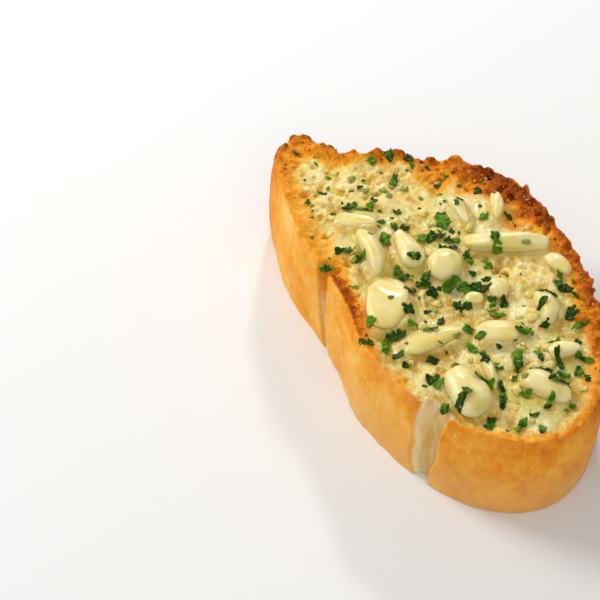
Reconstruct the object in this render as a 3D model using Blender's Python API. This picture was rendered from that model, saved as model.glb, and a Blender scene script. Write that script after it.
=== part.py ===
"""One slice of garlic bread, lying on its lower cut face with the topped face up.

X runs across the loaf, from its square corner at -X. The pale side with two tears is at -Y and the
domed, browned side at +Y. The bread is one solid with its small toppings fused to it, and each
chunk of garlic is its own solid, resting on a flat seat in the topped face.
"""

import math
import random
from collections import namedtuple

import bmesh
import bpy
from mathutils import Matrix, Vector, noise
from mathutils.geometry import delaunay_2d_cdt

MM = 0.001

# The slice
SLICE_THICKNESS = 24 * MM
BOTTOM_SHIFT = Vector((-0.5, -1.7)) * MM  # the knife ran a little aslant through the loaf
WALL_BULGE = 0.8 * MM
WALL_ROUGHNESS = 0.3 * MM
WALL_ROUGHNESS_LENGTH = 6 * MM
WALL_LEVELS = (0, 0.05, 0.2, 0.38, 0.56, 0.74, 0.9, 1)  # heights of the wall's rows, as shares
# The upper cut, anticlockwise from the square corner, in millimetres
OUTLINE = (
    (-58.1, -10), (-56.6, -14.2), (-52, -18), (-44, -20.7), (-34, -23.6), (-24, -25.2), (-10, -25.3),
    (2, -26.8), (12, -29), (20, -29), (30, -27.5), (40, -24.6), (49, -19.6), (55.5, -12.5), (58, -3.5),
    (55, 6), (47, 14.6), (35, 22), (20, 28), (4, 31), (-11, 31), (-22, 28.4), (-29, 23), (-34, 16.6),
    (-40, 10.4), (-45, 1), (-51, -3.8), (-56, -5.8),
)
OUTLINE_STEPS = 12  # points of the smooth curve between two outline points

# The mesh
COLUMN_SPACING = 2.9 * MM
TOP_SPACING = 2.4 * MM
TOP_JITTER = 0.2  # of the spacing
RIM_CLEARANCE = 1.5 * MM

# The topped face
CRUMB_BUMP = 0.75 * MM
CRUMB_BUMP_LENGTH = 7.5 * MM
PORE_DEPTH = 1.1 * MM
PORE_SPACING = 5 * MM
PORE_REACH = 0.42  # of the spacing
CRUMB_SAG = 0.5 * MM
CRUMB_SAG_REACH = 9 * MM
RIM_RISE = 0.3 * MM
RIM_CRAGS = 0.9 * MM
RIM_CRAG_LENGTH = 3.2 * MM
RIM_PALE_SHARE = 0.25  # how craggy the pale edge is, next to the browned one
RIM_NIBBLE = 1.3 * MM  # how far the browned edge crumbles inwards
BROWNING_START = -14 * MM  # Y at which the edge starts to brown, on the loaf's middle
BROWNING_REACH = 24 * MM
BROWNING_SLANT = 0.25  # how far that line climbs along X
RIM_NICKS = ((-47, -1.6, 1.6, 2.2), (-34.4, 16.2, 1.3, 4.5))  # X, Y, depth and reach in millimetres
SEAT_MARGIN = 1.6 * MM
SEAT_BLEND = 2.5 * MM

# The two tears in the pale side: X of each side of the gap at the top and at the bottom, and its depth
TEARS = {
    "narrow": {"top": (-15.0, -10.2), "bottom": (-10.0, -7.4), "depth": 4.0},
    "wide": {"top": (34.8, 42.2), "bottom": (34.2, 38.6), "depth": 3.2},
}
TEAR_OVERRUN = 3 * MM
TEAR_STEPS = 6
TEAR_RAGGEDNESS = 0.45 * MM
TEAR_DEPTH_SHARES = (0.85, 1.1)
TEAR_PROFILE = (  # shares of the gap's width across it and of its depth into the bread
    (-0.3, -2), (1.1, -2), (1, 0.6), (0.88, 1), (0.5, 0.8), (0.15, 0.6), (0, 0),
)

# Garlic chunks, in millimetres and degrees. Squareness is 2 for an egg and more for a block, taper is the
# share of the width lost at the far end (or, below zero, at the near end), and bend bows the chunk sideways.
Chunk = namedtuple("Chunk", "x y length width height turn squareness taper bend")
GARLIC = {
    "garlic_crescent": Chunk(-10.8, -13.8, 14.8, 5.6, 4.4, -12, 2.4, 0.25, 0.45),
    "garlic_wedge": Chunk(-7.4, -5.4, 12.0, 6.6, 4.0, -8, 2.8, -0.45, 0.1),
    "garlic_dome": Chunk(1.8, -0.4, 9.2, 8.6, 4.4, -28, 2.2, 0.1, 0),
    "garlic_slab": Chunk(2.1, 16.3, 20.0, 5.8, 3.4, 60, 3.6, 0.1, 0.1),
    "garlic_pillow": Chunk(5.8, -18.0, 15.6, 10.6, 3.0, -30, 2.6, 0.12, 0),
    "garlic_chunk": Chunk(37.9, -16.4, 13.4, 8.8, 5.0, -4, 2.6, -0.12, 0.1),
    "garlic_sliver": Chunk(-9.7, 20.6, 8.8, 3.6, 3.8, -27, 2.3, 0.2, 0.3),
    "garlic_flat": Chunk(-22.4, -10.8, 10.4, 6.0, 1.7, 54, 2.5, 0.25, 0),
    "garlic_strip": Chunk(20.6, -14.0, 15.6, 6.6, 2.2, 86, 2.8, 0.3, 0.15),
    "garlic_petal": Chunk(25.8, -0.4, 10.0, 7.6, 2.2, 61, 2.6, 0.2, 0),
    "garlic_nub": Chunk(13.9, 6.9, 6.0, 5.0, 2.8, -26, 2.2, 0.1, 0),
    "garlic_shaving": Chunk(-13.2, 12.4, 10.2, 3.8, 2.3, -6, 2.2, 0.35, 0.2),
    "garlic_curl": Chunk(34.4, -9.0, 11.0, 2.6, 2.6, -11, 2.2, 0.2, 0.5),
    "garlic_crumb": Chunk(13.8, 0.4, 4.4, 3.8, 2.0, 60, 2.3, 0.1, 0),
    "garlic_heel": Chunk(45.4, -0.6, 12.0, 6.8, 4.0, 28, 2.6, 0.3, 0.2),
    "garlic_half": Chunk(24.5, 12.5, 10.0, 6.0, 3.6, -22, 2.4, 0.3, 0.3),
    "garlic_end": Chunk(37.5, 9.5, 7.4, 4.6, 2.6, 70, 2.4, 0.2, 0),
    "garlic_edge": Chunk(14.0, 23.0, 8.0, 4.4, 2.4, 10, 2.3, 0.2, 0.2),
}
GARLIC_SEGMENTS = 12
GARLIC_RINGS = 8
GARLIC_GAP = 0.3 * MM
GARLIC_WAIST = 0.36  # height of the widest section, as a share
GARLIC_ROUGHNESS = 0.06
GARLIC_BUMPS = 1.7  # across a chunk
GARLIC_NOISE_REACH = 50  # each chunk reads the noise at its own place within this

# Chopped parsley, fused to what it lies on: length, width and place in millimetres, turn in degrees
Leaf = namedtuple("Leaf", "x y length width turn")
LARGE_LEAVES = (
    Leaf(-9.2, 2.2, 7.4, 5.6, 40), Leaf(9.2, 0.6, 8.6, 3.4, 72), Leaf(-15.4, 6.6, 5.8, 4.4, -20),
    Leaf(-4.8, 5.2, 4.4, 2.8, 60), Leaf(18.0, 3.6, 5.2, 3.6, 15), Leaf(27.4, -8.2, 4.2, 3.0, 30),
    Leaf(35.4, -1.4, 5.4, 4.0, 0), Leaf(14.6, -22.0, 5.2, 3.2, 60), Leaf(-39.0, 7.4, 4.6, 3.0, -10),
    Leaf(-31.4, 4.6, 4.4, 2.0, -25), Leaf(-26.4, -3.8, 4.2, 2.4, 60), Leaf(-16.2, -2.6, 4.2, 3.0, 20),
    Leaf(4.2, -8.0, 4.2, 2.8, 55), Leaf(-12.4, -23.0, 3.8, 2.4, 50), Leaf(29.8, -19.8, 4.2, 2.8, 10),
    Leaf(-39.4, 2.6, 3.6, 2.6, 80), Leaf(46.6, -10.6, 4.6, 3.0, 30), Leaf(33.4, 16.4, 4.4, 3.0, 75),
    Leaf(12.6, 16.8, 4.2, 3.0, 20),
)
SMALL_LEAVES = 66
SMALL_LEAF_LENGTHS = (2.2 * MM, 3.8 * MM)
LEAF_SLENDERNESS = (0.5, 0.8)  # width over length
LEAF_REACH = (0.7, 1.0)  # of each corner, as a share of the leaf's half size
LEAF_THICKNESS = 0.55 * MM
LEAF_CUP = 0.1  # of the length
LEAF_TILT = math.radians(20)
LEAF_LIFT = 0.22 * MM
LEAVES_ON_GARLIC = (  # chunk, place along and across it as shares of its half sizes, length in millimetres
    ("garlic_slab", -0.05, -0.2, 4.6),
    ("garlic_crescent", -0.1, -0.4, 3.4),
    ("garlic_pillow", 0.5, 0.3, 2.8),
    ("garlic_strip", 0.75, 0.0, 3.8),
    ("garlic_curl", -0.35, 0.3, 4.0),
    ("garlic_petal", -0.75, -0.1, 3.8),
)

# Minced garlic and crumbs
CRUMBS = 32
CRUMB_LENGTHS = (1.5 * MM, 2.6 * MM)
CRUMB_LIFT = 0.15  # of the length
CRUMB_SQUASH = (0.6, 0.9)  # width and height over length
TOPPING_INSET = 3.4 * MM  # how far toppings stay inside the outline
TOPPING_CLEARANCE = 0.5 * MM

SEED = 41

LOOKS = {  # base colour and roughness
    "bread": ((0.86, 0.57, 0.24, 1), 0.7),
    "garlic": ((0.90, 0.82, 0.52, 1), 0.35),
}


def clear_scene():
    for item in list(bpy.data.objects):
        bpy.data.objects.remove(item)


def smooth_step(value):
    value = min(max(value, 0.0), 1.0)
    return value * value * (3 - 2 * value)


def spline_point(before, start, end, after, share):
    """Catmull-Rom point at this share of the way from start to end."""
    return 0.5 * (
        2 * start
        + (end - before) * share
        + (2 * before - 5 * start + 4 * end - after) * share**2
        + (3 * start - before - 3 * end + after) * share**3
    )


def outline_curve():
    """The smooth closed outline of the upper cut, as closely spaced points."""
    corners = [Vector(point) * MM for point in OUTLINE]
    count = len(corners)
    return [
        spline_point(*(corners[(i + k) % count] for k in (-1, 0, 1, 2)), step / OUTLINE_STEPS)
        for i in range(count)
        for step in range(OUTLINE_STEPS)
    ]


def even_points(curve, spacing):
    """Points and outward normals at equal distances along a closed curve."""
    lengths = [(curve[i] - curve[i - 1]).length for i in range(len(curve))]
    count = round(sum(lengths) / spacing)
    step = sum(lengths) / count
    points, walked = [], 0.0
    for i, length in enumerate(lengths):
        along = curve[i] - curve[i - 1]
        while len(points) * step < walked + length and len(points) < count:
            share = (len(points) * step - walked) / length
            points.append((curve[i - 1] + along * share, Vector((along.y, -along.x)).normalized()))
        walked += length
    return points


def distance_inside(curve, point):
    """Distance from a closed curve, positive inside it."""
    nearest, crossings = math.inf, 0
    for i in range(len(curve)):
        start, end = curve[i - 1], curve[i]
        along = end - start
        share = min(max((point - start).dot(along) / along.length_squared, 0), 1)
        nearest = min(nearest, (start + along * share - point).length)
        if (start.y > point.y) != (end.y > point.y):
            crossings += point.x < start.x + along.x * (point.y - start.y) / along.y
    return nearest if crossings % 2 else -nearest


def pale_side_y(curve, x):
    """Y of the pale side of the outline at this X."""
    for start, end in zip(curve, curve[1:]):
        if start.x <= x < end.x and start.y < 0:
            return start.y + (end.y - start.y) * (x - start.x) / (end.x - start.x)
    raise ValueError("the pale side doesn't reach this X")


def bounds(points):
    low = Vector([min(values) for values in zip(*points)])
    return low, Vector([max(values) for values in zip(*points)])


def chunk_clearance(chunk, point):
    """Distance from a point of the topped face to a chunk's outline, below zero under the chunk."""
    half = Vector((chunk.length, chunk.width)) * MM / 2
    local = Matrix.Rotation(-math.radians(chunk.turn), 2) @ (point - Vector((chunk.x, chunk.y)) * MM)
    x = abs(local.x) / half.x
    y = abs(local.y / half.y - chunk.bend * max(1 - x * x, 0))
    power = chunk.squareness
    reach = max(x**power + y**power, 1e-6) ** (1 / power)
    slope = reach ** (1 - power) * math.hypot(x ** (power - 1) / half.x, y ** (power - 1) / half.y)
    return (reach - 1) / slope


def garlic_clearance(point):
    return min(chunk_clearance(chunk, point) for chunk in GARLIC.values())


def browning(point):
    """0 on the pale side of the loaf, 1 on its browned side."""
    return smooth_step((point.y - BROWNING_START - BROWNING_SLANT * point.x) / BROWNING_REACH)


def crumb_height(point, inside):
    """Height of the topped face, level where a chunk sits on it."""
    spot = Vector((point.x, point.y, 0))
    bump = CRUMB_BUMP * noise.noise(spot / CRUMB_BUMP_LENGTH)
    pore = PORE_DEPTH * smooth_step(1 - noise.voronoi(spot / PORE_SPACING)[0][0] / PORE_REACH)
    sag = CRUMB_SAG * smooth_step(inside / CRUMB_SAG_REACH)
    loose = smooth_step((garlic_clearance(point) - SEAT_MARGIN) / SEAT_BLEND)
    return SLICE_THICKNESS - CRUMB_SAG + (CRUMB_SAG - sag + bump - pore) * loose


def rim_point(point, normal):
    """Point of the toasted edge: crumbled inwards and craggy along the browned side."""
    spot = Vector((point.x, point.y, 0))
    brown = browning(point)
    crag, nibble = noise.noise_vector(spot / RIM_CRAG_LENGTH).xy
    inset = RIM_NIBBLE * brown * max(nibble + RIM_PALE_SHARE, 0)
    for x, y, depth, reach in RIM_NICKS:
        inset += depth * MM * smooth_step(1 - (point - Vector((x, y)) * MM).length / (reach * MM))
    rise = RIM_RISE + RIM_CRAGS * crag * (RIM_PALE_SHARE + (1 - RIM_PALE_SHARE) * brown)
    place = point - normal * inset
    return Vector((place.x, place.y, SLICE_THICKNESS + rise))


def wall_point(point, normal, share):
    """Point of the crust at this share of the thickness, 0 at the bottom."""
    height = share * SLICE_THICKNESS
    rough = WALL_ROUGHNESS * noise.noise(Vector((point.x, point.y, height)) / WALL_ROUGHNESS_LENGTH)
    place = point + normal * (WALL_BULGE * math.sin(math.pi * share) + rough) + BOTTOM_SHIFT * (1 - share)
    return Vector((place.x, place.y, height))


def crumb_points(rim, draw):
    """Points within the rim on a jittered triangular grid."""
    low, high = bounds(rim)
    rise = TOP_SPACING * math.sqrt(3) / 2
    found = []
    for row in range(int((high.y - low.y) / rise) + 1):
        for column in range(int((high.x - low.x) / TOP_SPACING) + 1):
            jitter = Vector((draw.uniform(-1, 1), draw.uniform(-1, 1))) * TOP_JITTER * TOP_SPACING
            point = low + Vector(((column + 0.5 * (row % 2)) * TOP_SPACING, row * rise)) + jitter
            if distance_inside(rim, point) > RIM_CLEARANCE:
                found.append(point)
    return found


def finish_mesh(mesh, name):
    """Turns an edit mesh into an object's data with its faces pointing out."""
    bmesh.ops.recalc_face_normals(mesh, faces=mesh.faces[:])
    data = bpy.data.meshes.new(name)
    mesh.to_mesh(data)
    mesh.free()
    return data


def add_object(name, data, collection=None):
    item = bpy.data.objects.new(name, data)
    (collection or bpy.context.scene.collection).objects.link(item)
    return item


def add_material(name):
    colour, roughness = LOOKS[name]
    material = bpy.data.materials.new(name)
    material.use_nodes = True
    shader = material.node_tree.nodes["Principled BSDF"]
    shader.inputs["Base Color"].default_value = colour
    shader.inputs["Roughness"].default_value = roughness
    return material


def bridge_rings(mesh, rings):
    """Joins rings of the same length with faces and closes the first ring."""
    for low, high in zip(rings, rings[1:]):
        for i in range(len(low)):
            mesh.faces.new((low[i - 1], low[i], high[i], high[i - 1]))
    mesh.faces.new(list(reversed(rings[0])))


def plain_slice(curve, draw):
    """The bare slice: flat lower cut, crust and the uneven topped face."""
    mesh = bmesh.new()
    around = even_points(curve, COLUMN_SPACING)
    rings = [
        [mesh.verts.new(wall_point(point, normal, share)) for point, normal in around]
        for share in WALL_LEVELS[:-1]
    ]
    rings.append([mesh.verts.new(rim_point(point, normal)) for point, normal in around])
    bridge_rings(mesh, rings)

    rim = [vert.co.xy for vert in rings[-1]]
    edges = [(i, (i + 1) % len(rim)) for i in range(len(rim))]
    places, _, faces, _, _, _ = delaunay_2d_cdt(rim + crumb_points(rim, draw), edges, [], 1, 1e-7)
    inner = [Vector((p.x, p.y, crumb_height(p, distance_inside(rim, p)))) for p in places[len(rim):]]
    verts = rings[-1] + [mesh.verts.new(place) for place in inner]
    for face in faces:
        mesh.faces.new([verts[i] for i in face])
    return add_object("bread", finish_mesh(mesh, "bread"))


def tear_cutter(name, curve, collection, draw):
    """A ragged upright wedge that takes a tear out of the pale side."""
    tear = TEARS[name]
    mesh = bmesh.new()
    rings = []
    for step in range(TEAR_STEPS + 1):
        z = -TEAR_OVERRUN + (SLICE_THICKNESS + 2 * TEAR_OVERRUN) * step / TEAR_STEPS
        share = z / SLICE_THICKNESS
        left, right = (
            (bottom + (top - bottom) * share) * MM + draw.uniform(-1, 1) * TEAR_RAGGEDNESS
            for bottom, top in zip(tear["bottom"], tear["top"])
        )
        wide, depth = right - left, tear["depth"] * MM * draw.uniform(*TEAR_DEPTH_SHARES)
        edge = pale_side_y(curve, (left + right) / 2) + BOTTOM_SHIFT.y * (1 - share)
        rings.append([mesh.verts.new((left + x * wide, edge + y * depth, z)) for x, y in TEAR_PROFILE])
    bridge_rings(mesh, rings)
    mesh.faces.new(rings[-1])
    add_object("tear_" + name, finish_mesh(mesh, "tear_" + name), collection)


def new_collection(name):
    collection = bpy.data.collections.new(name)
    bpy.context.scene.collection.children.link(collection)
    return collection


def apply_boolean(item, operation, collection):
    """Joins or cuts an object with a collection, whose objects are then removed."""
    modifier = item.modifiers.new(operation.lower(), "BOOLEAN")
    modifier.operation = operation
    modifier.solver = "EXACT"
    modifier.operand_type = "COLLECTION"
    modifier.collection = collection
    bpy.context.view_layer.update()
    result = bpy.data.meshes.new_from_object(item.evaluated_get(bpy.context.evaluated_depsgraph_get()))
    item.modifiers.clear()
    item.data = result
    for used in list(collection.objects):
        bpy.data.objects.remove(used)
    bpy.data.collections.remove(collection)
    tidy_solid(item)
    bpy.context.view_layer.update()


def connected_bodies(mesh):
    """The vertices of each separate body of an edit mesh."""
    bodies, seen = [], set()
    for start in mesh.verts:
        body, waiting = [], [start]
        while waiting:
            vert = waiting.pop()
            if vert not in seen:
                seen.add(vert)
                body.append(vert)
                waiting += [edge.other_vert(vert) for edge in vert.link_edges]
        bodies.append(body)
    return bodies


def tidy_solid(item):
    """Drops scraps, fills sealed hollows and splits many-sided faces into triangles."""
    mesh = bmesh.new()
    mesh.from_mesh(item.data)
    bodies = sorted(connected_bodies(mesh), key=len)
    bmesh.ops.delete(mesh, geom=[vert for body in bodies[:-1] for vert in body], context="VERTS")
    bmesh.ops.triangulate(mesh, faces=[face for face in mesh.faces if len(face.verts) > 4])
    mesh.to_mesh(item.data)
    mesh.free()


def surface_height(item, point):
    """Height of an object's upper surface at a point of the plane."""
    hit, place, _, _ = item.ray_cast(Vector((point.x, point.y, 1)), Vector((0, 0, -1)))
    return place.z if hit else SLICE_THICKNESS


def topping_fits(curve, point, length):
    """Whether a topping this long lies on the bread, clear of the chunks and the rim."""
    if distance_inside(curve, point) < TOPPING_INSET:
        return False
    return garlic_clearance(point) > length / 2 + TOPPING_CLEARANCE


def apart_from(toppings, point, length):
    """Whether a new topping keeps clear of those already placed."""
    return all(math.dist(point, (other.x, other.y)) > (length + other.length) / 2 for other in toppings)


def leaf_places(curve, draw):
    """Every leaf on the bread: the large ones, then small ones drawn at random between them."""
    leaves = [Leaf(*(value * MM for value in leaf[:4]), math.radians(leaf.turn)) for leaf in LARGE_LEAVES]
    low, high = bounds(curve)
    while len(leaves) < len(LARGE_LEAVES) + SMALL_LEAVES:
        point = Vector((draw.uniform(low.x, high.x), draw.uniform(low.y, high.y)))
        length = draw.uniform(*SMALL_LEAF_LENGTHS)
        width, turn = length * draw.uniform(*LEAF_SLENDERNESS), draw.uniform(0, math.pi)
        if apart_from(leaves, point, length) and topping_fits(curve, point, length):
            leaves.append(Leaf(point.x, point.y, length, width, turn))
    return leaves


def leaf_solid(name, leaf, height, tilt, collection, draw):
    """A thin cupped scrap of parsley, with both faces split into triangles alike."""
    sides = 6 if leaf.length > SMALL_LEAF_LENGTHS[1] else 5
    reaches = [draw.uniform(*LEAF_REACH) for _ in range(sides)]
    mesh = bmesh.new()
    rings = []
    for z in (-LEAF_THICKNESS / 2, LEAF_THICKNESS / 2):
        ring = []
        for i, reach in enumerate(reaches):
            angle = 2 * math.pi * i / sides
            x, y = reach * leaf.length / 2 * math.cos(angle), reach * leaf.width / 2 * math.sin(angle)
            ring.append(mesh.verts.new((x, y, z + LEAF_CUP * leaf.length * math.cos(angle) ** 2)))
        middle = mesh.verts.new((0, 0, z))
        for i in range(sides):
            mesh.faces.new((ring[i - 1], ring[i], middle))
        rings.append(ring)
    for i in range(sides):
        mesh.faces.new((rings[0][i - 1], rings[0][i], rings[1][i], rings[1][i - 1]))
    turned = Matrix.Rotation(leaf.turn, 4, "Z") @ Matrix.Rotation(tilt, 4, "X")
    mesh.transform(Matrix.Translation((leaf.x, leaf.y, height)) @ turned)
    add_object(name, finish_mesh(mesh, name), collection)


def crumb_solid(name, point, height, length, collection, draw):
    """A small rounded bit of minced garlic or crumb."""
    mesh = bmesh.new()
    bmesh.ops.create_icosphere(mesh, subdivisions=1, radius=length / 2)
    stretch = Matrix.Diagonal((1, draw.uniform(*CRUMB_SQUASH), draw.uniform(*CRUMB_SQUASH), 1))
    turn = Matrix.Rotation(draw.uniform(0, math.pi), 4, "Z")
    mesh.transform(Matrix.Translation((point.x, point.y, height + CRUMB_LIFT * length)) @ turn @ stretch)
    add_object(name, finish_mesh(mesh, name), collection)


def fuse_toppings(bread, curve, draw):
    """Joins parsley and crumbs to the bread with one union."""
    bits = new_collection("bits")
    toppings = leaf_places(curve, draw)
    for i, leaf in enumerate(toppings):
        height = surface_height(bread, Vector((leaf.x, leaf.y))) + LEAF_LIFT
        leaf_solid(f"leaf_{i}", leaf, height, draw.uniform(-LEAF_TILT, LEAF_TILT), bits, draw)
    low, high = bounds(curve)
    leaves = len(toppings)
    while len(toppings) < leaves + CRUMBS:
        point = Vector((draw.uniform(low.x, high.x), draw.uniform(low.y, high.y)))
        length = draw.uniform(*CRUMB_LENGTHS)
        if apart_from(toppings, point, length) and topping_fits(curve, point, length):
            crumb_solid(f"crumb_{len(toppings)}", point, surface_height(bread, point), length, bits, draw)
            toppings.append(Leaf(point.x, point.y, length, length, 0))
    apply_boolean(bread, "UNION", bits)


def garlic_solid(name, seat, draw):
    """A chunk of clove: a squared egg, tapered and bowed, with a flat underside just above its seat."""
    chunk = GARLIC[name]
    length, width, height = (value * MM for value in (chunk.length, chunk.width, chunk.height))
    mesh = bmesh.new()
    bmesh.ops.create_uvsphere(mesh, u_segments=GARLIC_SEGMENTS, v_segments=GARLIC_RINGS, radius=1)
    offset = Vector([draw.uniform(0, GARLIC_NOISE_REACH) for _ in range(3)])
    for vert in mesh.verts:
        way = vert.co.normalized()
        size = sum(abs(part) ** chunk.squareness for part in way) ** (-1 / chunk.squareness)
        x, y, z = way * size * (1 + GARLIC_ROUGHNESS * noise.noise(way * GARLIC_BUMPS + offset))
        y *= 1 - abs(chunk.taper) * (1 + math.copysign(1, chunk.taper) * x) / 2
        y += chunk.bend * (1 - x * x)
        z = height * (GARLIC_WAIST + z * (1 - GARLIC_WAIST))
        vert.co = (x * length / 2, y * width / 2, max(z, 0))
    place = Matrix.Translation((chunk.x * MM, chunk.y * MM, seat + GARLIC_GAP))
    mesh.transform(place @ Matrix.Rotation(math.radians(chunk.turn), 4, "Z"))
    return add_object(name, finish_mesh(mesh, name))


def fuse_leaf(item, along, across, length, draw):
    """Joins a leaf to the chunk that carries it."""
    chunk = GARLIC[item.name]
    turn = Matrix.Rotation(math.radians(chunk.turn), 2)
    offset = turn @ Vector((along * chunk.length, across * chunk.width)) / 2
    point = (Vector((chunk.x, chunk.y)) + offset) * MM
    width = sum(LEAF_SLENDERNESS) / 2 * length
    bits = new_collection("bits")
    leaf = Leaf(point.x, point.y, length * MM, width * MM, draw.uniform(0, math.pi))
    leaf_solid("leaf", leaf, surface_height(item, point) + LEAF_LIFT / 2, 0, bits, draw)
    apply_boolean(item, "UNION", bits)


def centre_on_origin(items):
    """Moves every mesh so that the whole stands on z = 0, centred in X and Y."""
    low, high = bounds([vert.co for item in items for vert in item.data.vertices])
    shift = Matrix.Translation((-(low.x + high.x) / 2, -(low.y + high.y) / 2, -low.z))
    for item in items:
        item.data.transform(shift)


def build():
    clear_scene()
    draw = random.Random(SEED)
    curve = outline_curve()
    bread = plain_slice(curve, draw)
    tears = new_collection("tears")
    for name in TEARS:
        tear_cutter(name, curve, tears, draw)
    apply_boolean(bread, "DIFFERENCE", tears)
    seats = {name: surface_height(bread, Vector((chunk.x, chunk.y)) * MM) for name, chunk in GARLIC.items()}
    fuse_toppings(bread, curve, draw)
    chunks = {name: garlic_solid(name, seat, draw) for name, seat in seats.items()}
    bpy.context.view_layer.update()
    for name, along, across, length in LEAVES_ON_GARLIC:
        fuse_leaf(chunks[name], along, across, length, draw)
    bread.data.materials.append(add_material("bread"))
    garlic = add_material("garlic")
    for item in chunks.values():
        item.data.materials.append(garlic)
    centre_on_origin([bread, *chunks.values()])


build()
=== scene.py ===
# one slice of garlic bread on a pale floor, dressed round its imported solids
import math
import random

import bmesh
import bpy
import numpy as np
import openvdb
from mathutils import Matrix, Vector, noise
from mathutils.bvhtree import BVHTree


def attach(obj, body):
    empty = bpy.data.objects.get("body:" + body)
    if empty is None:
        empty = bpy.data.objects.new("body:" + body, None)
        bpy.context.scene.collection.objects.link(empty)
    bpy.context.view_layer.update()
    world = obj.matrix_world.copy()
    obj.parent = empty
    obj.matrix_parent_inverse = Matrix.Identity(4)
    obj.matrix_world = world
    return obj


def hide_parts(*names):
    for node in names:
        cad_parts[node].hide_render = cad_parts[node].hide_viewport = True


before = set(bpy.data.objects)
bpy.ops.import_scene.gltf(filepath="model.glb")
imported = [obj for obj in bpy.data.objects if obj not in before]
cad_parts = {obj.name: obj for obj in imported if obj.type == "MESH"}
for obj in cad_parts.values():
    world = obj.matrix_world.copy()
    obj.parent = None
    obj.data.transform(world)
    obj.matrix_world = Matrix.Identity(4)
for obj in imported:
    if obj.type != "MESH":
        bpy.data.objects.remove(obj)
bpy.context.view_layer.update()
print("frame loaded:", len(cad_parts), "nodes")

mm = 0.001
noise.seed_set(5)  # without it noise_vector starts from the clock
drawingShift = np.array((0.263, -0.2, 0.0))  # mm, from the slice's drawing to the frame, which is centred


# the slice's measures, as in its solids, in millimetres
slab = {
    "thickness": 24.0,
    "bottomShift": (-0.5, -1.7),  # the knife ran a little aslant
    "wallBulge": 0.8,
    "outline": (  # the upper cut, anticlockwise from the square corner
        (-58.1, -10), (-56.6, -14.2), (-52, -18), (-44, -20.7), (-34, -23.6), (-24, -25.2), (-10, -25.3),
        (2, -26.8), (12, -29), (20, -29), (30, -27.5), (40, -24.6), (49, -19.6), (55.5, -12.5), (58, -3.5),
        (55, 6), (47, 14.6), (35, 22), (20, 28), (4, 31), (-11, 31), (-22, 28.4), (-29, 23), (-34, 16.6),
        (-40, 10.4), (-45, 1), (-51, -3.8), (-56, -5.8),
    ),
    "outlineSteps": 12,
    "browningStart": -14.0, "browningReach": 24.0, "browningSlant": 0.25,
    "nicks": ((-47, -1.6, 1.6, 2.2), (-34.4, 16.2, 1.3, 4.5)),  # x, y, depth, reach
    "tears": {
        "narrow": {"top": (-15.0, -10.2), "bottom": (-10.0, -7.4), "depth": 4.0},
        "wide": {"top": (34.8, 42.2), "bottom": (34.2, 38.6), "depth": 3.2},
    },
    "tearProfile": ((-0.3, -2), (1.1, -2), (1, 0.6), (0.88, 1), (0.5, 0.8), (0.15, 0.6), (0, 0)),
    "tearOverrun": 3.0, "tearSteps": 6,
    # layers of noise: wavelength in mm, height and seed
    "wallNoise": ((6, 0.1, 31), ((1.6, 1.6, 9), 0.05, 32)), "wallGrain": ((1.0, 0.03, 33),),
    "tearNoise": (((1.3, 1.3, 6), 0.1, 44), (3.0, 0.14, 45)),
}

# garlic chunks: x, y, length, width, height, turn in degrees, squareness, taper, bend
garlic = {
    "crescent": (-10.8, -13.8, 14.8, 5.6, 4.4, -12, 2.4, 0.25, 0.45),
    "wedge": (-7.4, -5.4, 12.0, 6.6, 4.0, -8, 2.8, -0.45, 0.1),
    "dome": (1.8, -0.4, 9.2, 8.6, 4.4, -28, 2.2, 0.1, 0),
    "slab": (2.1, 16.3, 20.0, 5.8, 3.4, 60, 3.6, 0.1, 0.1),
    "pillow": (5.8, -18.0, 15.6, 10.6, 3.0, -30, 2.6, 0.12, 0),
    "chunk": (37.9, -16.4, 13.4, 8.8, 5.0, -4, 2.6, -0.12, 0.1),
    "sliver": (-9.7, 20.6, 8.8, 3.6, 3.8, -27, 2.3, 0.2, 0.3),
    "flat": (-22.4, -10.8, 10.4, 6.0, 1.7, 54, 2.5, 0.25, 0),
    "strip": (20.6, -14.0, 15.6, 6.6, 2.2, 86, 2.8, 0.3, 0.15),
    "petal": (25.8, -0.4, 10.0, 7.6, 2.2, 61, 2.6, 0.2, 0),
    "nub": (13.9, 6.9, 6.0, 5.0, 2.8, -26, 2.2, 0.1, 0),
    "shaving": (-13.2, 12.4, 10.2, 3.8, 2.3, -6, 2.2, 0.35, 0.2),
    "curl": (34.4, -9.0, 11.0, 2.6, 2.6, -11, 2.2, 0.2, 0.5),
    "crumb": (13.8, 0.4, 4.4, 3.8, 2.0, 60, 2.3, 0.1, 0),
    "heel": (45.4, -0.6, 12.0, 6.8, 4.0, 28, 2.6, 0.3, 0.2),
    "half": (24.5, 12.5, 10.0, 6.0, 3.6, -22, 2.4, 0.3, 0.3),
    "end": (37.5, 9.5, 7.4, 4.6, 2.6, 70, 2.4, 0.2, 0),
    "edge": (14.0, 23.0, 8.0, 4.4, 2.4, 10, 2.3, 0.2, 0.2),
}


def smooth(low, high, value):
    share = np.clip((value - low) / (high - low), 0, 1)
    return share * share * (3 - 2 * share)


def closedSpline(corners, steps):
    points = np.array(corners, float)
    before, after, beyond = (np.roll(points, k, 0) for k in (1, -1, -2))
    share = np.arange(steps)[:, None, None] / steps
    curve = 0.5 * (
        2 * points + (after - before) * share
        + (2 * before - 5 * points + 4 * after - beyond) * share**2
        + (3 * points - before - 3 * after + beyond) * share**3
    )
    return curve.transpose(1, 0, 2).reshape(-1, 2)


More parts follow.
